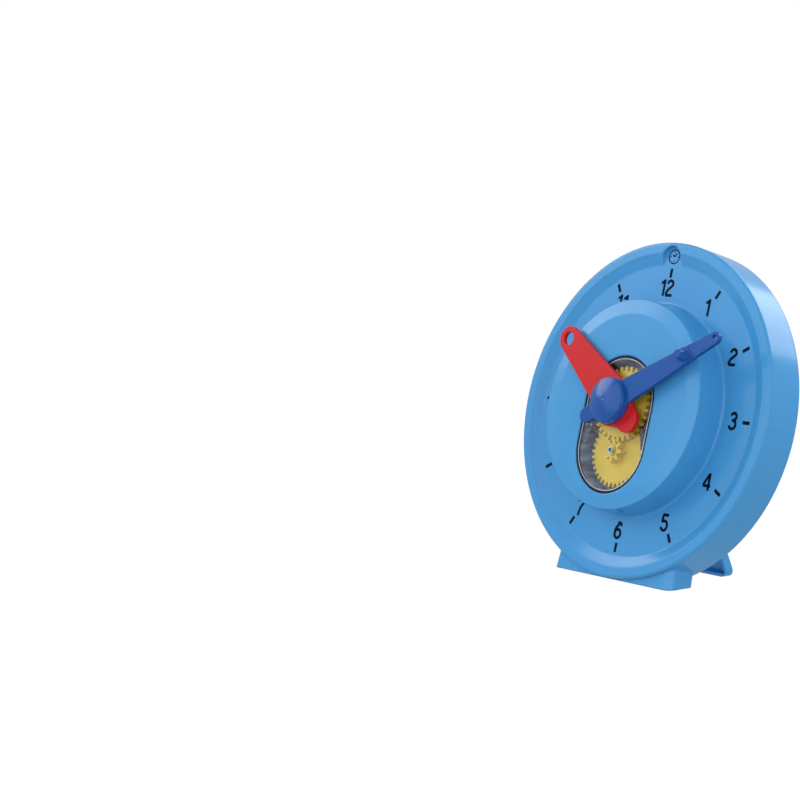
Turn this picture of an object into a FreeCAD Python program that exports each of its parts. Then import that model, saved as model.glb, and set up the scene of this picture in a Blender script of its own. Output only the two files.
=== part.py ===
# Geared teaching clock: a round housing that leans back on a front foot and a folding stand,
# with an hour hand and a minute hand tied together by four gears behind a clear window.
# Lengths are millimetres and angles are degrees.
# Every piece is drawn as seen from the front, in the dial's own axes: x to the right, y up along
# the dial, z forward, with z = 0 on the dial's face and the hands turning about the z axis.
# The whole clock is then leaned back and lifted until its sole lies on z = 0 of the part's frame.
import FreeCAD
import Part
import Sketcher
import math
import os
import re

SIZES = {
    # how the clock stands
    "lean_angle": 15.0,
    "centre_height": 68.0,
    # round housing
    "housing_radius": 70.0,
    "housing_depth": 14.9,
    "side_draft": 0.3,
    "wall": 1.8,
    "rim_height": 2.1,
    "rim_fillet": 1.0,
    "slope_radius": 65.1,
    "slope_height": 1.9,
    "dial_radius": 60.8,
    # drum in the middle of the dial
    "drum_radius": 44.0,
    "drum_draft": 0.6,
    "drum_height": 14.5,
    "bevel_radius": 37.3,
    "bevel_height": 1.2,
    "drum_fillet": 1.0,
    # recess above the 12
    "notch_half_width": 5.3,
    "notch_top": 68.5,
    "notch_bottom": 49.5,
    # front foot
    "foot_half_width": 34.5,
    "foot_depth": 12.1,
    "foot_flare": 5.0,
    "foot_corner": 3.5,
    "foot_root": 56.0,
    "foot_wall": 2.2,
    "foot_skin": 0.3,
    # window and gear case
    "window_radius": 19.8,
    "window_drop": 17.5,
    "pane_gap": 0.15,
    "pane_recess": 0.35,
    "pane_thickness": 1.25,
    "pane_fillet": 0.3,
    "case_wall": 1.6,
    "case_radius": 18.65,
    "flange_width": 2.6,
    "flange_thickness": 1.4,
    "case_depth": 8.5,
    "back_plate": 1.8,
    "bearing_height": 0.8,
    "bearing_wall": 2.0,
    "case_screw_side": 17.6,
    "case_boss_radius": 2.2,
    "ear_side": 26.5,
    "ear_top": 10.0,
    "ear_bottom": 27.0,
    "ear_radius": 3.4,
    "ear_root": 18.5,
    # gears
    "fine_module": 0.8,
    "coarse_module": 0.96,
    "minute_teeth": 12,
    "compound_wheel_teeth": 36,
    "compound_pinion_teeth": 8,
    "hour_teeth": 32,
    "pressure_angle": 20.0,
    "fine_shift": 0.32,
    "coarse_shift": 0.53,
    "addendum": 0.85,
    "dedendum": 1.2,
    "backlash": 0.07,
    "wheel_thickness": 2.0,
    "wheel_gap": 1.0,
    "pinion_lap": 0.2,
    "end_play": 0.3,
    "web_recess": 0.7,
    "web_rim": 3.6,
    # shafts
    "arbor_radius": 2.5,
    "tube_radius": 4.2,
    "axle_radius": 1.2,
    "axle_boss_radius": 2.6,
    "axle_hub_radius": 2.9,
    "axle_web_radius": 3.9,
    "axle_sink": 0.2,
    "pin_chamfer": 0.2,
    "running_gap": 0.05,
    "flat_depth": 0.6,
    "clip_thickness": 0.5,
    "clip_radius": 4.2,
    "groove_depth": 0.5,
    "clip_opening": 2.8,
    "arbor_tail": 0.6,
    "washer_thickness": 0.3,
    "hub_washer_thickness": 0.2,
    "washer_radius": 5.0,
    # hour hand
    "hour_angle": 305.0,
    "hour_reach": 42.0,
    "hour_tip_radius": 5.2,
    "hour_root_radius": 9.0,
    "hour_eye_radius": 2.9,
    "hour_tail_reach": 11.0,
    "hour_tail_radius": 5.5,
    "hour_tail_fillet": 3.0,
    "hour_hub_radius": 10.2,
    "hour_hub_rise": 0.7,
    "hour_boss_radius": 6.2,
    "hour_boss_height": 1.1,
    "hand_thickness": 1.8,
    "hand_gap": 0.3,
    # minute hand
    "minute_angle": 60.0,
    "minute_reach": 58.9,
    "minute_tip_radius": 2.45,
    "minute_root_radius": 5.8,
    "minute_eye_radius": 1.25,
    "minute_tail_reach": 13.9,
    "minute_tail_radius": 3.2,
    "minute_neck_radius": 4.6,
    "minute_tail_fillet": 2.0,
    "minute_hub_radius": 9.5,
    "minute_hub_height": 3.5,
    "hub_floor": 2.4,
    "hub_chamfer": 0.4,
    "recess_radius": 7.4,
    "key_half_width": 2.0,
    "cap_rise": 2.1,
    "cap_edge": 0.35,
    "cap_gap": 0.05,
    "cap_wall": 1.4,
    "cap_crown": 1.8,
    "knob_reach": 42.4,
    "knob_radius": 2.6,
    "knob_top_radius": 1.8,
    "knob_height": 4.0,
    "knob_ring_radius": 3.5,
    "knob_ring_height": 0.4,
    # screws
    "cover_screw_circle": 61.5,
    "cover_screw_angle": 45.0,
    "cover_boss_radius": 3.3,
    "cover_screw_radius": 1.25,
    "cover_head_radius": 2.6,
    "cover_head_height": 1.0,
    "cover_screw_length": 9.0,
    "mount_screw_radius": 1.1,
    "mount_head_radius": 2.2,
    "mount_screw_length": 7.0,
    "case_screw_radius": 0.8,
    "case_head_radius": 1.7,
    "case_screw_length": 5.5,
    "small_head_height": 1.1,
    "hub_screw_radius": 1.25,
    "hub_head_radius": 2.9,
    "hub_head_height": 1.2,
    "hub_screw_length": 6.0,
    "hub_slot_height": 0.5,
    "hole_gap": 0.25,
    "slot_length": 1.1,
    "slot_width": 0.26,
    "slot_depth": 0.6,
    # back cover
    "cover_thickness": 2.0,
    "cover_gap": 0.15,
    # folding stand
    "hinge_drop": 8.0,
    "stand_angle": 23.5,
    "stand_depth": 4.0,
    "stand_gap": 0.3,
    "stand_wall": 1.4,
    "stand_half_width": 29.1,
    "stand_flare": 18.5,
    "stand_corner": 3.0,
    "stand_neck": 4.0,
    "stand_stop_reach": 4.0,
    "stand_stop_gap": 0.05,
    "lug_width": 2.5,
    "lug_gap": 0.2,
    "lug_wall": 1.5,
    "lug_foot": 0.9,
    "pin_radius": 0.9,
    # shapes that join reach this far into each other, and cutters this far past what they cut
    "join": 0.2,
    "overrun": 8.0,
}

doc = FreeCAD.newDocument("geared_teaching_clock")
sheet = doc.addObject("Spreadsheet::Sheet", "Sizes")
for row, (name, value) in enumerate(SIZES.items(), start=1):
    sheet.set("A%d" % row, name)
    sheet.set("B%d" % row, str(value))
    sheet.setAlias("B%d" % row, name)
doc.recompute()

# Places that several pieces share, written in the sizes above
FORMS = {
    "axis_distance": "(fine_module * (minute_teeth + compound_wheel_teeth) / 2)",
    "drum_back": "(drum_height - wall)",
    "pane_front": "(drum_height - pane_recess)",
    "pane_back": "(pane_front - pane_thickness)",
    "case_back": "(drum_height - case_depth)",
    "hour_wheel_front": "(pane_back - bearing_height - end_play / 2)",
    "hinge_depth": "(housing_depth + stand_gap + stand_depth / 2)",
    "sole_level": "(-centre_height / cos(lean_angle))",
    "back_radius": "(housing_radius - side_draft)",
    "compound_wheel_front": "(hour_wheel_front - wheel_thickness - wheel_gap)",
    "hour_back": "(pane_front + end_play / 2 + hour_boss_height)",
    "hour_top": "(hour_back + hand_thickness + hour_hub_rise)",
    "minute_back": "(hour_top + hand_gap)",
    "arbor_top": "(minute_back + hub_floor - running_gap)",
    "clip_front": "(case_back - back_plate - bearing_height - 2 * running_gap - washer_thickness)",
    "hinge_level": "(centre_height - hinge_depth * sin(lean_angle) - hinge_drop * cos(lean_angle))",
    "stand_lean": "(stand_angle - lean_angle)",
    "stand_reach": "(hinge_level / cos(stand_lean))",
    "stand_top_half": "(stand_half_width - (stand_reach - stand_neck) * tan(stand_flare))",
}
PIECES = []


def expand(text):
    """The expression with each shared place written out and each size named on the sheet."""
    def spell(word):
        name = word.group()
        if name in FORMS:
            return expand(FORMS[name])
        return "Sizes." + name if name in SIZES else name
    return re.sub(r"[a-z_]+", spell, text)


def number(text):
    """The value of an expression in millimetres or degrees."""
    value = sheet.evalExpression(expand(str(text)))
    return float(getattr(value, "Value", value))


def bind(thing, prop, text):
    thing.setExpression(prop, expand(str(text)))


def lean_back(thing):
    """Leans a piece back with the dial and lifts it onto the sole."""
    thing.Placement = FreeCAD.Placement(
        FreeCAD.Vector(0, 0, 0), FreeCAD.Rotation(FreeCAD.Vector(1, 0, 0), number("90 - lean_angle")))
    bind(thing, "Placement.Rotation.Angle", "90 - lean_angle")
    bind(thing, "Placement.Base.y", "centre_height * tan(lean_angle) - foot_depth / 2 / cos(lean_angle)")
    bind(thing, "Placement.Base.z", "centre_height")


def new_body(label):
    body = doc.addObject("PartDesign::Body", label)
    body.Label = label
    lean_back(body)
    PIECES.append(body)
    return body


def new_sketch(body, plane, height="0", turn=None):
    """A sketch on one of the body's own planes, moved along its normal and turned about it."""
    sketch = body.newObject("Sketcher::SketchObject", "Sketch")
    for feature in body.Origin.OriginFeatures:
        if feature.Role == plane:
            sketch.AttachmentSupport = [(feature, "")]
    sketch.MapMode = "FlatFace"
    bind(sketch, "AttachmentOffset.Base.z", height)
    if turn is not None:
        bind(sketch, "AttachmentOffset.Rotation.Angle", turn)
    doc.recompute()
    return sketch


def fix_point(sketch, geometry, point, x, y):
    """Ties one point of the sketch to its place."""
    for kind, text, axis in (("DistanceX", x, -2), ("DistanceY", y, -1)):
        if str(text) == "0":
            sketch.addConstraint(Sketcher.Constraint("PointOnObject", geometry, point, axis))
        else:
            index = sketch.addConstraint(
                Sketcher.Constraint(kind, -1, 1, geometry, point, number(text)))
            bind(sketch, "Constraints[%d]" % index, text)


def fix_radius(sketch, geometry, text):
    index = sketch.addConstraint(Sketcher.Constraint("Radius", geometry, number(text)))
    bind(sketch, "Constraints[%d]" % index, text)


def draw_circle(sketch, x, y, radius):
    centre = FreeCAD.Vector(number(x), number(y), 0)
    index = sketch.addGeometry(Part.Circle(centre, FreeCAD.Vector(0, 0, 1), number(radius)))
    fix_point(sketch, index, 3, x, y)
    fix_radius(sketch, index, radius)


def draw_outline(sketch, corners):
    """A closed outline. A corner with a third value starts an arc of that radius, bulging outwards."""
    count = len(corners)
    spots = [FreeCAD.Vector(number(c[0]), number(c[1]), 0) for c in corners]
    ends = []
    for i, corner in enumerate(corners):
        start, stop = spots[i], spots[(i + 1) % count]
        if len(corner) == 2:
            index = sketch.addGeometry(Part.LineSegment(start, stop))
            ends.append((index, 1, 2))
            continue
        radius = number(corner[2])
        middle, half = (start + stop) * 0.5, (stop - start) * 0.5
        side = FreeCAD.Vector(half.y, -half.x, 0).normalize()
        centre = middle + side * math.sqrt(radius ** 2 - half.Length ** 2)
        first = math.atan2(stop.y - centre.y, stop.x - centre.x)
        last = math.atan2(start.y - centre.y, start.x - centre.x)
        arc = Part.ArcOfCircle(Part.Circle(centre, FreeCAD.Vector(0, 0, 1), radius), first, last)
        index = sketch.addGeometry(arc)
        ends.append((index, 2, 1))
        fix_radius(sketch, index, corner[2])
    for i, corner in enumerate(corners):
        before = ends[i - 1]
        sketch.addConstraint(
            Sketcher.Constraint("Coincident", before[0], before[2], ends[i][0], ends[i][1]))
        fix_point(sketch, ends[i][0], ends[i][1], corner[0], corner[1])


def draw_belt(sketch, first, second):
    """The outline that wraps two circles, each given as x, y and radius."""
    spots = [FreeCAD.Vector(number(c[0]), number(c[1]), 0) for c in (first, second)]
    radii = [number(c[2]) for c in (first, second)]
    along = (spots[1] - spots[0]).normalize()
    heading = math.atan2(along.y, along.x)
    spread = math.acos((radii[0] - radii[1]) / (spots[1] - spots[0]).Length)
    arcs = []
    for spot, radius, start, stop in (
            (spots[0], radii[0], heading + spread, heading - spread + 2 * math.pi),
            (spots[1], radii[1], heading - spread, heading + spread)):
        circle = Part.Circle(spot, FreeCAD.Vector(0, 0, 1), radius)
        arcs.append(sketch.addGeometry(Part.ArcOfCircle(circle, start, stop)))
    for lead, follow in ((0, 1), (1, 0)):
        line_start = sketch.Geometry[arcs[lead]].EndPoint
        line_stop = sketch.Geometry[arcs[follow]].StartPoint
        line = sketch.addGeometry(Part.LineSegment(line_start, line_stop))
        sketch.addConstraint(Sketcher.Constraint("Tangent", arcs[lead], 2, line, 1))
        sketch.addConstraint(Sketcher.Constraint("Tangent", line, 2, arcs[follow], 1))
    for index, circle in zip(arcs, (first, second)):
        fix_point(sketch, index, 3, circle[0], circle[1])
        fix_radius(sketch, index, circle[2])


def add_feature(body, kind, sketch, length, both_ways=False, backwards=False):
    feature = body.newObject(kind, kind.split("::")[1])
    feature.Profile = sketch
    feature.Midplane = both_ways
    feature.Reversed = backwards
    bind(feature, "Length", length)
    sketch.Visibility = False
    doc.recompute()
    return feature


def pad(body, sketch, length, both_ways=False):
    """Adds the outline's shape, forward from its plane or evenly both ways."""
    return add_feature(body, "PartDesign::Pad", sketch, length, both_ways)


def pocket(body, sketch, length, both_ways=False):
    """Cuts the outline's shape, forward from its plane or evenly both ways."""
    return add_feature(body, "PartDesign::Pocket", sketch, length, both_ways, not both_ways)


def turn_profile(body, kind, corners):
    """Turns a half profile of radius and height about the z axis."""
    sketch = new_sketch(body, "XZ_Plane")
    draw_outline(sketch, corners)
    feature = body.newObject(kind, kind.split("::")[1])
    feature.Profile = sketch
    feature.ReferenceAxis = (sketch, ["V_Axis"])
    feature.Angle = 360
    sketch.Visibility = False
    doc.recompute()
    return feature


def round_edges(body, kind, size, wanted):
    """Rounds or chamfers the edges of the body's last feature for which wanted(edge) is true."""
    last = body.Tip
    names = ["Edge%d" % (i + 1) for i, edge in enumerate(last.Shape.Edges) if wanted(edge)]
    feature = body.newObject(kind, kind.split("::")[1])
    feature.Base = (last, names)
    bind(feature, "Radius" if kind.endswith("Fillet") else "Size", size)
    doc.recompute()
    return feature


def circle_edge(radius, height):
    """Tells a full circle about the z axis by its radius and height."""
    radius, height = number(radius), number(height)

    def wanted(edge):
        curve = edge.Curve
        return (isinstance(curve, Part.Circle) and abs(curve.Radius - radius) < 0.01
                and abs(curve.Center.z - height) < 0.01 and math.hypot(curve.Center.x, curve.Center.y) < 0.01)
    return wanted


def upright_edge(radius, slack):
    """Tells a straight edge along z that stands about this far from the z axis."""
    radius = number(radius)

    def wanted(edge):
        low, high = edge.Vertexes[0].Point, edge.Vertexes[-1].Point
        return (isinstance(edge.Curve, Part.Line) and math.hypot(low.x - high.x, low.y - high.y) < 0.01
                and abs(math.hypot(low.x, low.y) - radius) < slack)
    return wanted


def sole_line(height, rise="0"):
    """y of the surface the clock stands on, at a height in front of the dial, raised square to it."""
    return "sole_level - (%s) * tan(lean_angle) + (%s) / cos(lean_angle)" % (height, rise)


def trim_at_sole(body, rise):
    """Cuts away everything under the surface the clock stands on, raised by some amount."""
    sketch = new_sketch(body, "YZ_Plane")
    front, back, below = "rim_height + overrun", "-housing_depth - overrun", "-housing_radius - 3 * overrun"
    draw_outline(sketch, [
        (sole_line(front, rise), front), (sole_line(back, rise), back), (below, back), (below, front)])
    pocket(body, sketch, "4 * housing_radius", both_ways=True)


def cover_screw_places():
    side = "cover_screw_circle * sin(cover_screw_angle)"
    up = "cover_screw_circle * cos(cover_screw_angle)"
    return [(sign_x + side, sign_y + up) for sign_x in ("", "-") for sign_y in ("", "-")]


def mount_screw_places():
    return [(side + "ear_side", up) for side in ("", "-") for up in ("ear_top", "-ear_bottom")]


def case_screw_places():
    return [(side + "case_screw_side", "-axis_distance / 2") for side in ("", "-")]


def tooth_outline(teeth, module, shift, first_angle, centre_y):
    """The wire round a gear: each flank is one arc through three points of its involute."""
    pitch = module * teeth / 2
    base = pitch * math.cos(math.radians(number("pressure_angle")))
    tip = pitch + (number("addendum") + shift) * module
    root = pitch - (number("dedendum") - shift) * module
    slope = math.tan(math.radians(number("pressure_angle")))
    roll_off = slope - math.radians(number("pressure_angle"))
    thickness = module * (math.pi / 2 + 2 * shift * slope) - number("backlash")
    half_at_base = thickness / (2 * pitch) + roll_off
    flank_foot = max(base, root)

    def half_angle(radius):
        press = math.acos(min(1.0, base / radius))
        return half_at_base - (math.tan(press) - press)

    def spot(radius, angle):
        return FreeCAD.Vector(radius * math.cos(angle), centre_y + radius * math.sin(angle), 0)

    edges = []
    step = 2 * math.pi / teeth
    for tooth in range(teeth):
        middle = math.radians(first_angle) + tooth * step
        rising = [spot(r, middle - half_angle(r)) for r in (flank_foot, (flank_foot + tip) / 2, tip)]
        falling = [spot(r, middle + half_angle(r)) for r in (tip, (flank_foot + tip) / 2, flank_foot)]
        foot_angle = half_angle(flank_foot)
        root_start = spot(root, middle + foot_angle)
        root_stop = spot(root, middle + step - foot_angle)
        if root < flank_foot - 1e-6:
            edges.append(Part.makeLine(spot(root, middle - foot_angle), rising[0]))
        edges.append(Part.Arc(*rising).toShape())
        edges.append(Part.Arc(rising[2], spot(tip, middle), falling[0]).toShape())
        edges.append(Part.Arc(*falling).toShape())
        if root < flank_foot - 1e-6:
            edges.append(Part.makeLine(falling[2], root_start))
        edges.append(Part.Arc(root_start, spot(root, middle + step / 2), root_stop).toShape())
    return Part.Wire(edges)


def toothed_disc(name, teeth, module, shift, first_angle, centre_y, bottom, thickness):
    """A toothed disc from a bottom height upwards."""
    outline = doc.addObject("Part::Feature", name + "_teeth")
    outline.Shape = Part.Face(tooth_outline(
        int(number(teeth)), number(module), number(shift), first_angle, number(centre_y)))
    bind(outline, "Placement.Base.z", bottom)
    disc = doc.addObject("Part::Extrusion", name + "_disc")
    disc.Base = outline
    disc.DirMode = "Custom"
    disc.Dir = FreeCAD.Vector(0, 0, 1)
    disc.Solid = True
    bind(disc, "LengthFwd", thickness)
    return disc


def cylinder(name, x, y, bottom, radius, height):
    shape = doc.addObject("Part::Cylinder", name)
    bind(shape, "Placement.Base.x", x)
    bind(shape, "Placement.Base.y", y)
    bind(shape, "Placement.Base.z", bottom)
    bind(shape, "Radius", radius)
    bind(shape, "Height", height)
    return shape


def fuse(name, shapes):
    joined = doc.addObject("Part::MultiFuse", name)
    joined.Shapes = shapes
    return joined


def cut(name, base, tool):
    left = doc.addObject("Part::Cut", name)
    left.Base = base
    left.Tool = tool
    return left


def keep_piece(label, shape):
    shape.Label = label
    lean_back(shape)
    PIECES.append(shape)


def cross(name, x, y, bottom, head_radius, depth):
    """The cross recess of a screw head, as two crossed bars."""
    bars = []
    for index, (wide, high) in enumerate((("slot_length", "slot_width"), ("slot_width", "slot_length"))):
        bar = doc.addObject("Part::Box", "%s_slot%d" % (name, index))
        bind(bar, "Length", "%s * %s" % (wide, head_radius))
        bind(bar, "Width", "%s * %s" % (high, head_radius))
        bind(bar, "Height", depth)
        bind(bar, "Placement.Base.x", "%s - %s * %s / 2" % (x, wide, head_radius))
        bind(bar, "Placement.Base.y", "%s - %s * %s / 2" % (y, high, head_radius))
        bind(bar, "Placement.Base.z", bottom)
        bars.append(bar)
    return fuse(name + "_cross", bars)


def make_screw(name, x, y, head_base, radius, head_radius, head_height, length):
    """A screw driven forward: its head lies behind head_base, with a cross recess."""
    head = cylinder(name + "_head", x, y, "%s - %s" % (head_base, head_height), head_radius, head_height)
    shank = cylinder(name + "_shank", x, y, head_base, radius, length)
    slot = cross(name, x, y, "%s - %s" % (head_base, head_height), head_radius, "slot_depth * " + head_height)
    return cut(name, fuse(name + "_solid", [head, shank]), slot)


def screw_group(label, places, head_base, radius, head_radius, head_height, length):
    """Several like screws, one separate solid each."""
    screws = [
        make_screw("%s_%d" % (label, index), x, y, head_base, radius, head_radius, head_height, length)
        for index, (x, y) in enumerate(places)]
    group = doc.addObject("Part::Compound", label)
    group.Links = screws
    keep_piece(label, group)


def make_front_shell():
    body = new_body("front_shell")
    turn_profile(body, "PartDesign::Revolution", [
        ("0", "drum_height"), ("bevel_radius", "drum_height"),
        ("drum_radius - drum_draft", "drum_height - bevel_height"), ("drum_radius", "0"),
        ("dial_radius", "0"), ("slope_radius", "slope_height"),
        ("slope_radius + rim_height - slope_height", "rim_height"), ("housing_radius", "rim_height"),
        ("back_radius", "-housing_depth"), ("0", "-housing_depth")])
    round_edges(body, "PartDesign::Fillet", "rim_fillet", circle_edge("housing_radius", "rim_height"))
    round_edges(body, "PartDesign::Fillet", "drum_fillet", circle_edge("drum_radius", "0"))

    # front foot, with rounded front corners
    sketch = new_sketch(body, "XY_Plane", "-foot_depth")
    low, high = "-housing_radius - overrun", "-foot_root"
    sides = ["foot_half_width - (%s - sole_level) * tan(foot_flare)" % y for y in (low, high)]
    draw_outline(sketch, [
        ("-(%s)" % sides[0], low), (sides[0], low), (sides[1], high), ("-(%s)" % sides[1], high)])
    pad(body, sketch, "foot_depth")

    def front_corner(edge):
        ends = [vertex.Point for vertex in edge.Vertexes]
        return (len(ends) == 2 and isinstance(edge.Curve, Part.Line)
                and all(abs(end.z) < 0.01 and end.y < -number("foot_root") for end in ends)
                and ends[0].x * ends[1].x > 0
                and abs(ends[0].y - ends[1].y) > abs(ends[0].x - ends[1].x))
    round_edges(body, "PartDesign::Fillet", "foot_corner", front_corner)

    # the recess above the 12 gets a floor as thick as the dial
    sketch = new_sketch(body, "XY_Plane")
    draw_belt(sketch, ("0", "notch_top - notch_half_width", "notch_half_width"),
              ("0", "notch_bottom + notch_half_width", "notch_half_width"))
    pocket(body, sketch, "rim_height + overrun")

    # hollow inside
    turn_profile(body, "PartDesign::Groove", [
        ("0", "drum_back"), ("drum_radius - drum_draft - wall", "drum_back"),
        ("drum_radius - wall", "-wall"), ("housing_radius - wall", "-wall"),
        ("back_radius - wall", "-housing_depth - overrun"), ("0", "-housing_depth - overrun")])

    # flat floor of the housing over the sole
    sketch = new_sketch(body, "YZ_Plane")
    front, back = "-wall", "-housing_depth"
    draw_outline(sketch, [
        (sole_line(front, "wall"), front), (sole_line(back, "wall"), back),
        (sole_line(back, "-overrun"), back), (sole_line(front, "-overrun"), front)])
    reach = "sqrt(pow(back_radius; 2) - pow(%s; 2))" % sole_line(back)
    pad(body, sketch, "2 * %s" % reach, both_ways=True)
    trim_at_sole(body, "0")

    # the two ends of the foot are cored from behind
    side = "(foot_half_width - foot_wall)"
    level = sole_line("-foot_depth", "wall")
    outside = "(housing_radius + foot_skin)"
    for sign in ("", "-"):
        sketch = new_sketch(body, "XY_Plane", "-foot_depth")
        draw_outline(sketch, [
            (sign + side, level), (sign + side, "-sqrt(pow(%s; 2) - pow(%s; 2))" % (outside, side)),
            (sign + "sqrt(pow(%s; 2) - pow(%s; 2))" % (outside, level), level)])
        pocket(body, sketch, "foot_depth - foot_wall")

    # window
    sketch = new_sketch(body, "XY_Plane", "drum_back - overrun")
    draw_belt(sketch, ("0", "0", "window_radius"), ("0", "-window_drop", "window_radius"))
    pocket(body, sketch, "wall + 2 * overrun")

    # bosses for the cover's screws and for the gear case's ears, each with its pilot hole
    for places, low, high, radius, hole in (
            (cover_screw_places(), "-housing_depth + cover_thickness", "-wall",
             "cover_boss_radius", "cover_screw_radius"),
            (mount_screw_places(), "case_back", "drum_back", "ear_radius", "mount_screw_radius")):
        sketch = new_sketch(body, "XY_Plane", low)
        for x, y in places:
            draw_circle(sketch, x, y, radius)
        pad(body, sketch, "%s - (%s)" % (high, low))
        sketch = new_sketch(body, "XY_Plane", low)
        for x, y in places:
            draw_circle(sketch, x, y, hole)
        pocket(body, sketch, "%s - (%s)" % (high, low))


def make_rear_cover():
    body = new_body("rear_cover")
    sketch = new_sketch(body, "XY_Plane", "-housing_depth")
    draw_circle(sketch, "0", "0", "back_radius - wall - cover_gap")
    pad(body, sketch, "cover_thickness")
    trim_at_sole(body, "wall + cover_gap")

    # screw holes with sunk seats for the heads
    for radius, low, depth in (
            ("cover_screw_radius + hole_gap", "-housing_depth - overrun", "cover_thickness + 2 * overrun"),
            ("cover_head_radius + hole_gap", "-housing_depth - overrun", "cover_head_height + overrun")):
        sketch = new_sketch(body, "XY_Plane", low)
        for x, y in cover_screw_places():
            draw_circle(sketch, x, y, radius)
        pocket(body, sketch, depth)

    # two round-ended lugs carry the stand's pin
    for start in ("stand_top_half + lug_gap", "-stand_top_half - lug_gap - lug_width"):
        sketch = new_sketch(body, "YZ_Plane", start)
        draw_belt(sketch, ("-hinge_drop", "-hinge_depth", "pin_radius + lug_wall"),
                  ("-hinge_drop", "-housing_depth + cover_thickness / 2", "pin_radius + lug_wall + lug_foot"))
        pad(body, sketch, "lug_width")
    sketch = new_sketch(body, "YZ_Plane")
    draw_circle(sketch, "-hinge_drop", "-hinge_depth", "pin_radius")
    pocket(body, sketch, "4 * (stand_top_half + lug_gap + lug_width)", both_ways=True)
    # the lugs' roots don't reach into the housing
    sketch = new_sketch(body, "XY_Plane", "-housing_depth + cover_thickness")
    draw_circle(sketch, "0", "-hinge_drop", "2 * (stand_top_half + lug_width)")
    pocket(body, sketch, "overrun")


def make_gear_case_front():
    body = new_body("gear_case_front")
    top, bottom = ("0", "0"), ("0", "-window_drop")
    for radius, low, high in (
            ("window_radius + flange_width", "drum_back - flange_thickness", "drum_back"),
            ("window_radius - pane_gap", "drum_back - flange_thickness", "pane_front"),
            ("case_radius + case_wall", "case_back", "drum_back")):
        sketch = new_sketch(body, "XY_Plane", low)
        draw_belt(sketch, top + (radius,), bottom + (radius,))
        pad(body, sketch, "%s - (%s)" % (high, low))
    front = number("pane_front")
    round_edges(body, "PartDesign::Fillet", "pane_fillet",
                lambda edge: all(abs(vertex.Point.z - front) < 0.01 for vertex in edge.Vertexes))
    sketch = new_sketch(body, "XY_Plane", "case_back")
    draw_belt(sketch, top + ("case_radius",), bottom + ("case_radius",))
    pocket(body, sketch, "pane_back - case_back")

    # thrust ring of the hour tube, boss of the axle and the two screw bosses
    axle = ("0", "-axis_distance")
    bosses = [(top, "tube_radius + bearing_wall", "pane_back - bearing_height"),
              (axle, "axle_boss_radius", "pane_back - bearing_height / 2")]
    bosses += [(place, "case_boss_radius", "case_back") for place in case_screw_places()]
    for place, radius, low in bosses:
        sketch = new_sketch(body, "XY_Plane", low)
        draw_circle(sketch, place[0], place[1], radius)
        pad(body, sketch, "pane_back + join - (%s)" % low)
    for place, radius in ((top, "tube_radius + running_gap"), (axle, "axle_radius")):
        sketch = new_sketch(body, "XY_Plane", "case_back")
        draw_circle(sketch, place[0], place[1], radius)
        pocket(body, sketch, "case_depth")
    sketch = new_sketch(body, "XY_Plane", "case_back")
    for x, y in case_screw_places():
        draw_circle(sketch, x, y, "case_screw_radius")
    pocket(body, sketch, "case_screw_length")


def make_gear_case_back():
    body = new_body("gear_case_back")
    low = "case_back - back_plate"
    sketch = new_sketch(body, "XY_Plane", low)
    edge = "window_radius + flange_width"
    draw_belt(sketch, ("0", "0", edge), ("0", "-window_drop", edge))
    pad(body, sketch, "back_plate")
    for x, y in mount_screw_places():
        sketch = new_sketch(body, "XY_Plane", low)
        draw_belt(sketch, (x.replace("ear_side", "ear_root"), y, "ear_radius"), (x, y, "ear_radius"))
        pad(body, sketch, "back_plate")
    # bearing bosses: behind the plate for both shafts, and in front for the minute arbor
    for y, radius in (("0", "arbor_radius + bearing_wall"), ("-axis_distance", "axle_boss_radius")):
        sketch = new_sketch(body, "XY_Plane", low + " - bearing_height")
        draw_circle(sketch, "0", y, radius)
        pad(body, sketch, "bearing_height + back_plate")
    sketch = new_sketch(body, "XY_Plane", low)
    draw_circle(sketch, "0", "0", "arbor_radius + bearing_wall")
    pad(body, sketch, "back_plate + end_play")
    for y, radius in (("0", "arbor_radius + running_gap"), ("-axis_distance", "axle_radius")):
        sketch = new_sketch(body, "XY_Plane", low + " - 2 * bearing_height")
        draw_circle(sketch, "0", y, radius)
        pocket(body, sketch, "back_plate + 4 * bearing_height")
    for places, radius in ((case_screw_places(), "case_screw_radius + hole_gap"),
                           (mount_screw_places(), "mount_screw_radius + hole_gap")):
        sketch = new_sketch(body, "XY_Plane", low)
        for x, y in places:
            draw_circle(sketch, x, y, radius)
        pocket(body, sketch, "back_plate")


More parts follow.
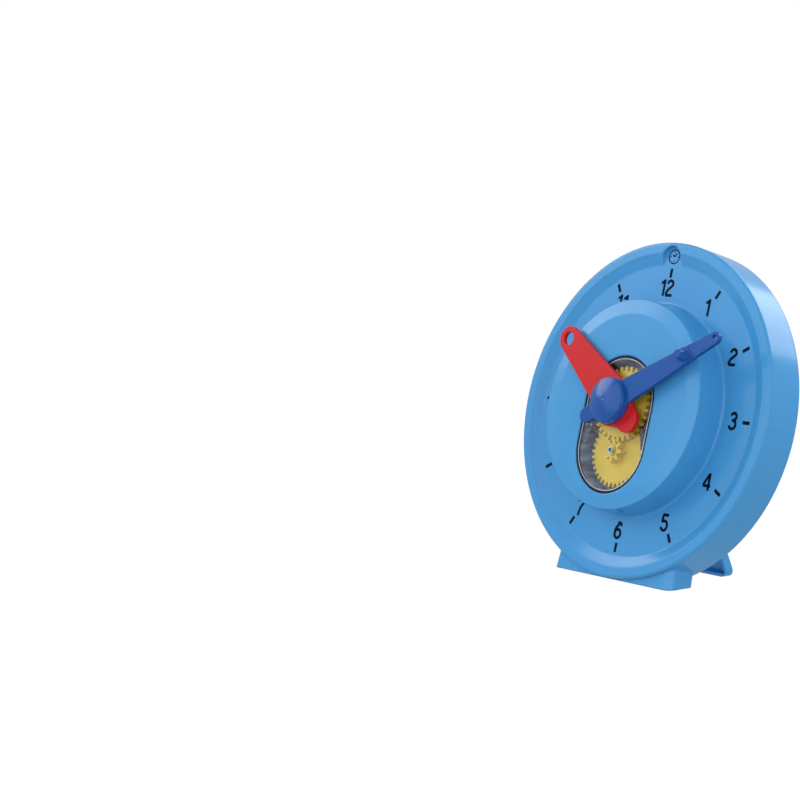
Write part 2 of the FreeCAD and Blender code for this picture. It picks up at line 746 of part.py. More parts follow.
def make_gears():
    gap = "running_gap"
    # the small gear on the minute arbor has a tooth on the line of centres, its wheel a space
    wheel_half_step = 180 / number("compound_wheel_teeth")
    hour_half_step = 180 / number("hour_teeth")
    pinion = toothed_disc("minute_pinion", "minute_teeth", "fine_module", "fine_shift", -90, "0",
                          "compound_wheel_front - wheel_thickness - pinion_lap",
                          "wheel_thickness + 2 * pinion_lap")
    bore = cylinder("minute_pinion_bore", "0", "0", "case_back", "arbor_radius", "case_depth")
    keep_piece("minute_pinion", cut("minute_pinion", pinion, bore))

    # wheel and small gear moulded in one
    wheel = toothed_disc("compound_wheel", "compound_wheel_teeth", "fine_module", "-fine_shift",
                         90 + wheel_half_step, "-axis_distance",
                         "compound_wheel_front - wheel_thickness", "wheel_thickness")
    small = toothed_disc("compound_pinion", "compound_pinion_teeth", "coarse_module", "coarse_shift",
                         90, "-axis_distance", "compound_wheel_front - wheel_thickness / 2",
                         "hour_wheel_front + pinion_lap - compound_wheel_front + wheel_thickness / 2")
    hub_back = "case_back + end_play / 2"
    hub = cylinder("compound_hub", "0", "-axis_distance", hub_back, "axle_hub_radius",
                   "compound_wheel_front - wheel_thickness / 2 - (%s)" % hub_back)
    bore = cylinder("compound_bore", "0", "-axis_distance", "case_back", "axle_radius + " + gap, "case_depth")
    ring = web_ring("compound", "-axis_distance", "compound_wheel_front - wheel_thickness",
                    "axle_web_radius", "fine_module * (compound_wheel_teeth / 2 - web_rim)")
    keep_piece("compound_gear", cut("compound_gear", fuse("compound_solid", [wheel, small, hub]),
                                    fuse("compound_cuts", [bore, ring])))

    # the hour wheel's tube runs on the minute arbor, through the pane
    back = "hour_wheel_front - wheel_thickness"
    wheel = toothed_disc("hour_wheel", "hour_teeth", "coarse_module", "-coarse_shift",
                         -90 + hour_half_step, "0", back, "wheel_thickness")
    tube = cylinder("hour_tube", "0", "0", back, "tube_radius", "hour_top - (%s)" % back)
    bore = cylinder("hour_bore", "0", "0", "case_back", "arbor_radius + " + gap, "2 * drum_height")
    ring = web_ring("hour", "0", back, "tube_radius + bearing_wall",
                    "coarse_module * (hour_teeth / 2 - web_rim)")
    keep_piece("hour_wheel", cut("hour_wheel", fuse("hour_solid", [wheel, tube]),
                                 fuse("hour_cuts", [bore, ring])))


def web_ring(name, y, back, inner, outer):
    """The ring that thins a wheel's web from its back face."""
    bottom, height = "%s - join" % back, "join + web_recess"
    return cut(name + "_web", cylinder(name + "_web_outer", "0", y, bottom, outer, height),
               cylinder(name + "_web_inner", "0", y, bottom, inner, height))


def make_compound_axle():
    body = new_body("compound_axle")
    low = "case_back - back_plate - bearing_height"
    sketch = new_sketch(body, "XY_Plane", low)
    draw_circle(sketch, "0", "-axis_distance", "axle_radius")
    pad(body, sketch, "pane_front - axle_sink - (%s)" % low)
    round_edges(body, "PartDesign::Chamfer", "pin_chamfer", lambda edge: isinstance(edge.Curve, Part.Circle))


def make_minute_arbor():
    body = new_body("minute_arbor")
    waist = "arbor_radius - groove_depth"
    turn_profile(body, "PartDesign::Revolution", [
        ("0", "arbor_top"), ("arbor_radius", "arbor_top"), ("arbor_radius", "clip_front"),
        (waist, "clip_front"), (waist, "clip_front - clip_thickness"),
        ("arbor_radius", "clip_front - clip_thickness"),
        ("arbor_radius", "clip_front - clip_thickness - arbor_tail"),
        ("0", "clip_front - clip_thickness - arbor_tail")])
    # flat that carries the minute hand round
    sketch = new_sketch(body, "XY_Plane", "minute_back")
    near, far = "arbor_radius - flat_depth", "(arbor_radius + join)"
    draw_outline(sketch, [(near, far), (far, far), (far, "-" + far), (near, "-" + far)])
    pocket(body, sketch, "hub_floor")
    sketch = new_sketch(body, "XY_Plane", "arbor_top - hub_screw_length")
    draw_circle(sketch, "0", "0", "hub_screw_radius")
    pocket(body, sketch, "hub_screw_length + overrun")


def make_rings():
    """Washers and the retaining ring on the minute arbor."""
    for label, low, inner, outer, thickness in (
            ("hub_washer", "hour_top + (hand_gap - hub_washer_thickness) / 2",
             "arbor_radius + 2 * running_gap", "washer_radius", "hub_washer_thickness"),
            ("arbor_washer", "clip_front + running_gap", "arbor_radius + running_gap", "washer_radius",
             "washer_thickness"),
            ("arbor_clip", "clip_front - clip_thickness", "arbor_radius - groove_depth", "clip_radius",
             "clip_thickness")):
        body = new_body(label)
        sketch = new_sketch(body, "XY_Plane", low)
        draw_circle(sketch, "0", "0", outer)
        draw_circle(sketch, "0", "0", inner)
        pad(body, sketch, thickness)
    sketch = new_sketch(body, "XY_Plane", "clip_front - clip_thickness")
    half, below = "clip_opening / 2", "-2 * clip_radius"
    draw_outline(sketch, [("-" + half, "0"), (half, "0"), (half, below), ("-" + half, below)])
    pocket(body, sketch, "2 * clip_thickness")


def make_hour_hand():
    body = new_body("hour_hand")
    turn = "-hour_angle"
    sketch = new_sketch(body, "XY_Plane", "hour_back", turn)
    draw_belt(sketch, ("0", "0", "hour_root_radius"), ("0", "hour_reach", "hour_tip_radius"))
    pad(body, sketch, "hand_thickness")
    sketch = new_sketch(body, "XY_Plane", "hour_back", turn)
    draw_circle(sketch, "0", "-hour_tail_reach", "hour_tail_radius")
    pad(body, sketch, "hand_thickness")
    sketch = new_sketch(body, "XY_Plane", "hour_back")
    draw_circle(sketch, "0", "0", "hour_hub_radius")
    pad(body, sketch, "hand_thickness")
    round_edges(body, "PartDesign::Fillet", "hour_tail_fillet", upright_edge("hour_hub_radius", 0.05))
    # raised hub, and the boss behind that keeps the hand off the pane
    for low, radius, height in (
            ("hour_back", "hour_hub_radius", "hand_thickness + hour_hub_rise"),
            ("hour_back - hour_boss_height", "hour_boss_radius", "hour_boss_height + hand_thickness")):
        sketch = new_sketch(body, "XY_Plane", low)
        draw_circle(sketch, "0", "0", radius)
        pad(body, sketch, height)
    for y, radius in (("0", "tube_radius"), ("hour_reach", "hour_eye_radius")):
        sketch = new_sketch(body, "XY_Plane", "pane_front", turn)
        draw_circle(sketch, "0", y, radius)
        pocket(body, sketch, "2 * (hour_boss_height + hand_thickness + hour_hub_rise)")


def make_minute_hand():
    body = new_body("minute_hand")
    turn = "-minute_angle"
    for first, second in (
            (("0", "0", "minute_root_radius"), ("0", "minute_reach", "minute_tip_radius")),
            (("0", "0", "minute_neck_radius"), ("0", "-minute_tail_reach", "minute_tail_radius"))):
        sketch = new_sketch(body, "XY_Plane", "minute_back", turn)
        draw_belt(sketch, first, second)
        pad(body, sketch, "hand_thickness")
    sketch = new_sketch(body, "XY_Plane", "minute_back")
    draw_circle(sketch, "0", "0", "minute_hub_radius")
    pad(body, sketch, "hand_thickness")
    round_edges(body, "PartDesign::Fillet", "minute_tail_fillet", upright_edge("minute_hub_radius", 0.05))
    sketch = new_sketch(body, "XY_Plane", "minute_back")
    draw_circle(sketch, "0", "0", "minute_hub_radius")
    pad(body, sketch, "minute_hub_height")
    round_edges(body, "PartDesign::Chamfer", "hub_chamfer",
                circle_edge("minute_hub_radius", "minute_back + minute_hub_height"))
    # bore with a key for the arbor's flat, and the sunk seat of the cap
    sketch = new_sketch(body, "XY_Plane", "minute_back - overrun")
    draw_circle(sketch, "0", "0", "arbor_radius")
    pocket(body, sketch, "minute_hub_height + 2 * overrun")
    sketch = new_sketch(body, "XY_Plane", "minute_back")
    near, far, half = "arbor_radius - flat_depth", "arbor_radius + join", "key_half_width"
    draw_outline(sketch, [(near, half), (far, half), (far, "-" + half), (near, "-" + half)])
    pad(body, sketch, "hub_floor")
    sketch = new_sketch(body, "XY_Plane", "minute_back + hub_floor")
    draw_circle(sketch, "0", "0", "recess_radius")
    pocket(body, sketch, "minute_hub_height")
    # finger knob on a low ring, and the eye in the tip
    sketch = new_sketch(body, "XY_Plane", "minute_back", turn)
    draw_circle(sketch, "0", "knob_reach", "knob_ring_radius")
    pad(body, sketch, "hand_thickness + knob_ring_height")
    sketch = new_sketch(body, "XY_Plane", "minute_back + hand_thickness", turn)
    draw_circle(sketch, "0", "knob_reach", "knob_radius")
    knob = pad(body, sketch, "knob_height")
    bind(knob, "TaperAngle", "-atan((knob_radius - knob_top_radius) / knob_height)")
    doc.recompute()
    sketch = new_sketch(body, "XY_Plane", "minute_back - overrun", turn)
    draw_circle(sketch, "0", "minute_reach", "minute_eye_radius")
    pocket(body, sketch, "hand_thickness + 2 * overrun")


def make_hub_cap():
    body = new_body("hub_cap")
    seat = "minute_back + minute_hub_height"
    rim, plug = "minute_hub_radius - hub_chamfer", "recess_radius - cap_gap"
    floor = "minute_back + hub_floor + 2 * cap_gap"
    dome = "(pow(%s; 2) + pow(cap_rise - cap_edge; 2)) / (2 * (cap_rise - cap_edge))" % rim
    turn_profile(body, "PartDesign::Revolution", [
        ("0", seat + " + cap_rise", dome), (rim, seat + " + cap_edge"), (rim, seat), (plug, seat),
        (plug, floor), (plug + " - cap_wall", floor),
        (plug + " - cap_wall", seat + " + cap_rise - cap_crown"), ("0", seat + " + cap_rise - cap_wall")])


def make_rear_stand():
    # drawn upright with its hinge on the x axis and its open side forward, then swung out
    body = doc.addObject("PartDesign::Body", "rear_stand")
    body.Label = "rear_stand"
    body.Placement = FreeCAD.Placement(
        FreeCAD.Vector(0, 0, 0), FreeCAD.Rotation(FreeCAD.Vector(1, 0, 0), number("90 + stand_lean")))
    bind(body, "Placement.Rotation.Angle", "90 + stand_lean")
    bind(body, "Placement.Base.y", "centre_height * tan(lean_angle) - foot_depth / 2 / cos(lean_angle)"
         " - hinge_drop * sin(lean_angle) + hinge_depth * cos(lean_angle)")
    bind(body, "Placement.Base.z", "hinge_level")
    PIECES.append(body)

    def half_width(y, inset):
        straight = "stand_top_half - (%s) / cos(stand_flare)" % inset
        return "(%s - (%s + stand_neck) * tan(stand_flare))" % (straight, y)

    top, low = "stand_stop_reach", "-stand_reach - stand_depth"
    sketch = new_sketch(body, "XY_Plane", "-stand_depth / 2")
    draw_outline(sketch, [
        ("-stand_top_half", top), ("stand_top_half", top), ("stand_top_half", "-stand_neck"),
        (half_width(low, "0"), low), ("-" + half_width(low, "0"), low), ("-stand_top_half", "-stand_neck")])
    pad(body, sketch, "stand_depth")
    sketch = new_sketch(body, "YZ_Plane")
    front, back = "stand_depth", "-stand_depth"
    draw_outline(sketch, [
        ("-stand_reach + (%s) * tan(stand_lean)" % front, front),
        ("-stand_reach + (%s) * tan(stand_lean)" % back, back),
        ("-2 * stand_reach", back), ("-2 * stand_reach", front)])
    pocket(body, sketch, "4 * stand_half_width", both_ways=True)
    # the slanted face above the hinge is the stop: it lies on the cover when the stand is open
    sketch = new_sketch(body, "YZ_Plane")
    reach = "hinge_depth - housing_depth - stand_stop_gap"
    along = ["(%s - (%s) * cos(stand_angle)) / sin(stand_angle)" % (reach, z) for z in (front, back)]
    draw_outline(sketch, [(along[0], front), ("2 * stand_depth + overrun", front), (along[1], back)])
    pocket(body, sketch, "4 * stand_half_width", both_ways=True)
    low, wide = number("-stand_reach + stand_depth"), number("stand_half_width / 2")
    round_edges(body, "PartDesign::Fillet", "stand_corner", lambda edge: all(
        vertex.Point.y < low and abs(vertex.Point.x) > wide for vertex in edge.Vertexes)
        and abs(edge.Vertexes[0].Point.z - edge.Vertexes[-1].Point.z) > number("stand_depth") / 2)
    high = "-stand_neck"
    low = "stand_wall + stand_depth / 2 * tan(stand_lean) - stand_reach"
    halves = [half_width(y, "stand_wall") for y in (high, low)]
    sketch = new_sketch(body, "XY_Plane", "stand_wall - stand_depth / 2")
    draw_outline(sketch, [
        ("-" + halves[0], high), (halves[0], high), (halves[1], low), ("-" + halves[1], low)])
    pocket(body, sketch, "stand_depth")
    sketch = new_sketch(body, "YZ_Plane")
    draw_circle(sketch, "0", "0", "pin_radius + running_gap")
    pocket(body, sketch, "4 * stand_half_width", both_ways=True)


def make_stand_pin():
    body = new_body("stand_pin")
    sketch = new_sketch(body, "YZ_Plane")
    draw_circle(sketch, "-hinge_drop", "-hinge_depth", "pin_radius")
    pad(body, sketch, "2 * (stand_top_half + lug_gap + lug_width)", both_ways=True)
    round_edges(body, "PartDesign::Chamfer", "pin_chamfer", lambda edge: isinstance(edge.Curve, Part.Circle))


def make_hub_screw():
    """The screw in the end of the minute arbor, driven from the front."""
    seat = "minute_back + hub_floor"
    head = cylinder("hub_screw_head", "0", "0", seat, "hub_head_radius", "hub_head_height")
    shank = cylinder("hub_screw_shank", "0", "0", "arbor_top - hub_screw_length + 2 * running_gap",
                     "hub_screw_radius", "hub_screw_length - running_gap")
    slot = cross("hub_screw", "0", "0", seat + " + hub_slot_height", "hub_head_radius", "hub_head_height")
    keep_piece("hub_screw", cut("hub_screw", fuse("hub_screw_solid", [head, shank]), slot))


def make_screws():
    cover_seat = "-housing_depth + cover_head_height"
    screw_group("cover_screws", cover_screw_places(), cover_seat, "cover_screw_radius",
                "cover_head_radius", "cover_head_height", "cover_screw_length")
    plate_back = "case_back - back_plate"
    screw_group("case_mount_screws", mount_screw_places(), plate_back, "mount_screw_radius",
                "mount_head_radius", "small_head_height", "mount_screw_length")
    screw_group("gear_case_screws", case_screw_places(), plate_back, "case_screw_radius",
                "case_head_radius", "small_head_height", "case_screw_length")


make_front_shell()
make_rear_cover()
make_gear_case_front()
make_gear_case_back()
make_gears()
make_compound_axle()
make_minute_arbor()
make_rings()
make_hour_hand()
make_minute_hand()
make_hub_cap()
make_rear_stand()
make_stand_pin()
make_hub_screw()
make_screws()
doc.recompute()

for thing in doc.Objects:
    if "Invalid" in thing.State or "Error" in thing.State:
        raise RuntimeError("%s failed: %s" % (thing.Label, thing.State))
os.makedirs("parts", exist_ok=True)
for piece in PIECES:
    shape = piece.Shape
    if shape.isNull() or not shape.isValid() or not shape.Solids:
        raise RuntimeError("%s has no valid shape" % piece.Label)
    shape.exportStep("parts/%s.step" % piece.Label)
    print("%-20s %2d solids %10.2f mm3" % (piece.Label, len(shape.Solids), shape.Volume))
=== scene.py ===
# Looks of the geared teaching clock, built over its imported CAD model.
# The dial's own axes: x right, y up along the dial, z out of the dial towards the viewer, in millimetres.
import math

import bpy
import numpy as np
from mathutils import Matrix, Vector


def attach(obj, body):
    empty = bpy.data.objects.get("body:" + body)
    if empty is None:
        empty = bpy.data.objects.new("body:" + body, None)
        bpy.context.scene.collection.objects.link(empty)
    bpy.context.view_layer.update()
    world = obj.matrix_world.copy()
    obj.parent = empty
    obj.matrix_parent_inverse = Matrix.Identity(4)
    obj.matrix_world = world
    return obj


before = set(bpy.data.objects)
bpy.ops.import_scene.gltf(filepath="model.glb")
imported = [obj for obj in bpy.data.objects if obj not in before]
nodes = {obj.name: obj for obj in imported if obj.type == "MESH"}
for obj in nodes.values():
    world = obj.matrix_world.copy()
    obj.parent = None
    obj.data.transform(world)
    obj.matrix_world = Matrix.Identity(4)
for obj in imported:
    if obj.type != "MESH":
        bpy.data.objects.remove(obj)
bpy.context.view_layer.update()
print("frame loaded:", len(nodes), "pieces")

# where the dial stands in the part's frame, in degrees and millimetres
stance = {"leanAngle": 15.0, "centreHeight": 68.0, "footDepth": 12.1}
lean = math.radians(stance["leanAngle"])
dialCentre = np.array([
    0.0,
    stance["centreHeight"] * math.tan(lean) - stance["footDepth"] / 2 / math.cos(lean),
    stance["centreHeight"]])
dialRight = np.array([1.0, 0.0, 0.0])
dialUp = np.array([0.0, math.sin(lean), math.cos(lean)])
dialOut = np.array([0.0, -math.cos(lean), math.sin(lean)])


def onDial(points):
    # dial millimetres to the frame's metres: centre + x * right + y * up + z * out
    points = np.asarray(points, float)
    placed = dialCentre + points[..., :1] * dialRight + points[..., 1:2] * dialUp + points[..., 2:3] * dialOut
    return placed / 1000.0


def makePiece(name, points, faces, body, material):
    mesh = bpy.data.meshes.new(name)
    mesh.from_pydata(np.asarray(points, float).reshape(-1, 3).tolist(), [], np.asarray(faces, int).tolist())
    mesh.materials.append(material)
    mesh.polygons.foreach_set("use_smooth", np.zeros(len(mesh.polygons), bool))
    mesh.update()
    piece = bpy.data.objects.new(name, mesh)
    bpy.context.scene.collection.objects.link(piece)
    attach(piece, body)


def newMaterial(name):
    material = bpy.data.materials.new(name)
    material.use_nodes = True
    nodeTree = material.node_tree
    return material, nodeTree, nodeTree.nodes["Principled BSDF"]


def link(nodeTree, fromSocket, toSocket):
    nodeTree.links.new(fromSocket, toSocket)


def addNode(nodeTree, kind, **settings):
    node = nodeTree.nodes.new(kind)
    for key, value in settings.items():
        setattr(node, key, value)
    return node


# what all the moulded plastics share
mouldLook = {"flowDetail": 3.0, "tintRange": (0.3, 0.7), "grainDetail": 2.0, "edgeSamples": 6}


def mouldedPlastic(name, look):
    # moulded plastic: flow marks vary the colour and gloss a little, fine grain roughens the skin
    material, tree, shader = newMaterial(name)
    place = addNode(tree, "ShaderNodeTexCoord")
    flow = addNode(tree, "ShaderNodeTexNoise")
    flow.inputs["Scale"].default_value = look["flowScale"]
    flow.inputs["Detail"].default_value = mouldLook["flowDetail"]
    link(tree, place.outputs["Object"], flow.inputs["Vector"])
    tint = addNode(tree, "ShaderNodeValToRGB")
    tint.color_ramp.elements[0].position, tint.color_ramp.elements[1].position = mouldLook["tintRange"]
    colour = np.array(look["colour"])
    tint.color_ramp.elements[0].color = (*(colour * (1 - look["colourSpread"])), 1)
    tint.color_ramp.elements[1].color = (*np.minimum(colour * (1 + look["colourSpread"]), 1), 1)
    link(tree, flow.outputs["Fac"], tint.inputs["Fac"])
    link(tree, tint.outputs["Color"], shader.inputs["Base Color"])
    gloss = addNode(tree, "ShaderNodeMapRange")
    gloss.inputs["To Min"].default_value = look["roughness"] - look["roughnessSpread"]
    gloss.inputs["To Max"].default_value = look["roughness"] + look["roughnessSpread"]
    link(tree, flow.outputs["Fac"], gloss.inputs["Value"])
    link(tree, gloss.outputs["Result"], shader.inputs["Roughness"])
    grain = addNode(tree, "ShaderNodeTexNoise")
    grain.inputs["Scale"].default_value = look["grainScale"]
    grain.inputs["Detail"].default_value = mouldLook["grainDetail"]
    link(tree, place.outputs["Object"], grain.inputs["Vector"])
    bump = addNode(tree, "ShaderNodeBump")
    bump.inputs["Strength"].default_value = look["grainStrength"]
    bump.inputs["Distance"].default_value = look["grainDepth"]
    link(tree, grain.outputs["Fac"], bump.inputs["Height"])
    # sharp edges of the mould come out a little rounded
    edge = addNode(tree, "ShaderNodeBevel", samples=mouldLook["edgeSamples"])
    edge.inputs["Radius"].default_value = look["edgeRadius"]
    link(tree, edge.outputs["Normal"], bump.inputs["Normal"])
    link(tree, bump.outputs["Normal"], shader.inputs["Normal"])
    shader.inputs["Specular IOR Level"].default_value = look["specular"]
    return material


def brightSteel(name, look):
    # turned steel: fine rings of brushing round the shaft, a little darker in the grooves
    material, tree, shader = newMaterial(name)
    place = addNode(tree, "ShaderNodeTexCoord")
    stretch = addNode(tree, "ShaderNodeMapping")
    stretch.inputs["Scale"].default_value = look["brushStretch"]
    link(tree, place.outputs["Object"], stretch.inputs["Vector"])
    brush = addNode(tree, "ShaderNodeTexNoise")
    brush.inputs["Scale"].default_value = look["brushScale"]
    brush.inputs["Detail"].default_value = look["brushDetail"]
    link(tree, stretch.outputs["Vector"], brush.inputs["Vector"])
    tint = addNode(tree, "ShaderNodeValToRGB")
    tint.color_ramp.elements[0].color = (*look["darkColour"], 1)
    tint.color_ramp.elements[1].color = (*look["colour"], 1)
    link(tree, brush.outputs["Fac"], tint.inputs["Fac"])
    link(tree, tint.outputs["Color"], shader.inputs["Base Color"])
    shader.inputs["Metallic"].default_value = 1.0
    gloss = addNode(tree, "ShaderNodeMapRange")
    gloss.inputs["To Min"].default_value = look["roughness"] - look["roughnessBelow"]
    gloss.inputs["To Max"].default_value = look["roughness"] + look["roughnessAbove"]
    link(tree, brush.outputs["Fac"], gloss.inputs["Value"])
    link(tree, gloss.outputs["Result"], shader.inputs["Roughness"])
    return material


def clearPlastic(name, look):
    # clear plastic with faint flow ripples; shade is how much light it keeps from what lies behind
    material, tree, shader = newMaterial(name)
    place = addNode(tree, "ShaderNodeTexCoord")
    ripple = addNode(tree, "ShaderNodeTexNoise")
    ripple.inputs["Scale"].default_value = look["rippleScale"]
    link(tree, place.outputs["Object"], ripple.inputs["Vector"])
    bump = addNode(tree, "ShaderNodeBump")
    bump.inputs["Strength"].default_value = look["rippleStrength"]
    bump.inputs["Distance"].default_value = look["rippleDepth"]
    link(tree, ripple.outputs["Fac"], bump.inputs["Height"])
    link(tree, bump.outputs["Normal"], shader.inputs["Normal"])
    shader.inputs["Base Color"].default_value = (*look["colour"], 1)
    shader.inputs["Roughness"].default_value = look["roughness"]
    shader.inputs["IOR"].default_value = look["ior"]
    shader.inputs["Transmission Weight"].default_value = 1.0
    # light on its way to what lies behind passes nearly unbent
    rays = addNode(tree, "ShaderNodeLightPath")
    shade = addNode(tree, "ShaderNodeMapRange")
    shade.inputs["To Min"].default_value = 1.0
    shade.inputs["To Max"].default_value = look["shade"]
    link(tree, rays.outputs["Is Shadow Ray"], shade.inputs["Value"])
    link(tree, shade.outputs["Result"], shader.inputs["Alpha"])
    return material


def inkOrPaintedLight(name, look):
    # printed ink: nearly black, thin in tiny specks; the same material also paints the shade and highlight
    # lines round the pane and the axle
    material, tree, shader = newMaterial(name)
    place = addNode(tree, "ShaderNodeTexCoord")
    speck = addNode(tree, "ShaderNodeTexNoise")
    speck.inputs["Scale"].default_value = look["speckScale"]
    link(tree, place.outputs["Object"], speck.inputs["Vector"])
    tint = addNode(tree, "ShaderNodeValToRGB")
    tint.color_ramp.elements[0].color = (*look["colour"], 1)
    tint.color_ramp.elements[1].color = (*look["thinColour"], 1)
    tint.color_ramp.elements[0].position = look["thinFrom"]
    link(tree, speck.outputs["Fac"], tint.inputs["Fac"])
    link(tree, tint.outputs["Color"], shader.inputs["Base Color"])
    shader.inputs["Roughness"].default_value = look["roughness"]
    shader.inputs["Specular IOR Level"].default_value = look["specular"]
    return material


def wallWithPaintedStreaks(name, look):
    # a wall seen through clear plastic, with streaks of painted reflection and painted shade running from the
    # case's back to its front
    material, tree, shader = newMaterial(name)
    place = addNode(tree, "ShaderNodeTexCoord")
    along = addNode(tree, "ShaderNodeMapping")
    along.inputs["Rotation"].default_value = (-lean, 0, 0)
    along.inputs["Scale"].default_value = look["streakStretch"]
    link(tree, place.outputs["Object"], along.inputs["Vector"])
    streak = addNode(tree, "ShaderNodeTexNoise")
    streak.inputs["Scale"].default_value = look["streakScale"]
    streak.inputs["Detail"].default_value = look["streakDetail"]
    link(tree, along.outputs["Vector"], streak.inputs["Vector"])
    tint = addNode(tree, "ShaderNodeValToRGB")
    tint.color_ramp.elements[0].position, tint.color_ramp.elements[1].position = look["tintRange"]
    tint.color_ramp.elements[0].color = (*look["darkColour"], 1)
    tint.color_ramp.elements[1].color = (*look["colour"], 1)
    link(tree, streak.outputs["Fac"], tint.inputs["Fac"])
    link(tree, tint.outputs["Color"], shader.inputs["Base Color"])
    shader.inputs["Roughness"].default_value = look["roughness"]
    shader.inputs["Specular IOR Level"].default_value = look["specular"]
    return material


# colours are linear, depths and edge radii are in metres, and pattern scales count per metre
bodyLook = {"colour": (0.056, 0.298, 0.630), "colourSpread": 0.03, "flowScale": 22.0, "roughness": 0.19,
            "roughnessSpread": 0.03, "grainScale": 1400.0, "grainStrength": 0.25, "grainDepth": 0.00006,
            "specular": 0.3, "edgeRadius": 0.0010}
handBlueLook = {"colour": (0.006, 0.078, 0.335), "colourSpread": 0.04, "flowScale": 60.0, "roughness": 0.17,
                "roughnessSpread": 0.03, "grainScale": 2000.0, "grainStrength": 0.15, "grainDepth": 0.00005,
                "specular": 0.3, "edgeRadius": 0.0004}
handRedLook = {"colour": (0.56, 0.014, 0.018), "colourSpread": 0.04, "flowScale": 60.0, "roughness": 0.2,
               "roughnessSpread": 0.03, "grainScale": 2000.0, "grainStrength": 0.15, "grainDepth": 0.00005,
               "specular": 0.25, "edgeRadius": 0.0004}
gearLook = {"colour": (0.84, 0.60, 0.06), "colourSpread": 0.06, "flowScale": 120.0, "roughness": 0.45,
            "roughnessSpread": 0.05, "grainScale": 2400.0, "grainStrength": 0.2, "grainDepth": 0.00005,
            "specular": 0.3, "edgeRadius": 0.0002}
plateLook = {"colour": (0.16, 0.22, 0.34), "colourSpread": 0.05, "flowScale": 60.0, "roughness": 0.4,
             "roughnessSpread": 0.05, "grainScale": 1800.0, "grainStrength": 0.2, "grainDepth": 0.00005,
             "specular": 0.5, "edgeRadius": 0.0003}
steelLook = {"colour": (0.72, 0.74, 0.77), "darkColour": (0.42, 0.44, 0.48), "brushScale": 900.0,
             "brushStretch": (1, 12, 1), "brushDetail": 4.0, "roughness": 0.28, "roughnessBelow": 0.06,
             "roughnessAbove": 0.1}
paneLook = {"colour": (0.93, 0.96, 0.99), "roughness": 0.02, "ior": 1.49, "rippleScale": 90.0,
            "rippleStrength": 0.12, "rippleDepth": 0.0002, "shade": 0.2}
inkLook = {"colour": (0.003, 0.007, 0.018), "thinColour": (0.005, 0.014, 0.036), "thinFrom": 0.5,
           "speckScale": 3000.0, "roughness": 0.5, "specular": 0.03}
# painted shade: the near-black line where the pane's clear edge looks dark
edgeShadeLook = {"colour": (0.008, 0.012, 0.024), "thinColour": (0.016, 0.022, 0.040), "thinFrom": 0.5,
            "speckScale": 900.0, "roughness": 0.25, "specular": 0.15}
# painted highlight: the pale lines where the pane's edge and the axle's end catch the light
glintLook = {"colour": (0.60, 0.66, 0.74), "thinColour": (0.42, 0.48, 0.58), "thinFrom": 0.5,
             "speckScale": 700.0, "roughness": 0.15, "specular": 0.6}
# painted shade: the dark blue disc over the axle's bore
boreShadeLook = {"colour": (0.008, 0.045, 0.13), "thinColour": (0.012, 0.07, 0.19), "thinFrom": 0.5,
            "speckScale": 900.0, "roughness": 0.3, "specular": 0.4}
# painted reflection and shade: light and dark streaks on the sheet inside the clear case
wallLook = {"colour": (0.34, 0.45, 0.72), "darkColour": (0.05, 0.08, 0.20), "tintRange": (0.38, 0.66),
            "streakScale": 300.0, "streakStretch": (1, 0.12, 1), "streakDetail": 3.0, "roughness": 0.22,
            "specular": 0.6}

bodyBlue = mouldedPlastic("bodyBlue", bodyLook)
handBlue = mouldedPlastic("handBlue", handBlueLook)
handRed = mouldedPlastic("handRed", handRedLook)
gearYellow = mouldedPlastic("gearYellow", gearLook)
casePlate = mouldedPlastic("casePlate", plateLook)
steel = brightSteel("steel", steelLook)
clearPane = clearPlastic("clearPane", paneLook)
dialInk = inkOrPaintedLight("dialInk", inkLook)
# painted shade and painted highlights round the pane and the axle, made like ink
edgeShadeBlack = inkOrPaintedLight("edgeShadeBlack", edgeShadeLook)
edgeGlint = inkOrPaintedLight("edgeGlint", glintLook)
boreShadeBlue = inkOrPaintedLight("boreShadeBlue", boreShadeLook)
# painted streaks of reflection and shade inside the gear case
caseWallPaintedStreaks = wallWithPaintedStreaks("caseWallPaintedStreaks", wallLook)

finishes = {
    "front_shell": bodyBlue, "rear_cover": bodyBlue, "rear_stand": bodyBlue,
    "minute_hand": handBlue, "hub_cap": handBlue, "hour_hand": handRed,
    "minute_pinion": gearYellow, "compound_gear": gearYellow, "hour_wheel": gearYellow,
    "gear_case_front": clearPane, "gear_case_back": casePlate,
    "compound_axle": steel, "minute_arbor": steel, "hub_washer": steel, "arbor_washer": steel,
    "arbor_clip": steel, "stand_pin": steel, "hub_screw": steel, "cover_screws": steel,
    "case_mount_screws": steel, "gear_case_screws": steel}
for nodeName, material in finishes.items():
    nodes[nodeName].data.materials.clear()
    nodes[nodeName].data.materials.append(material)
print("finishes on", len(finishes), "pieces")


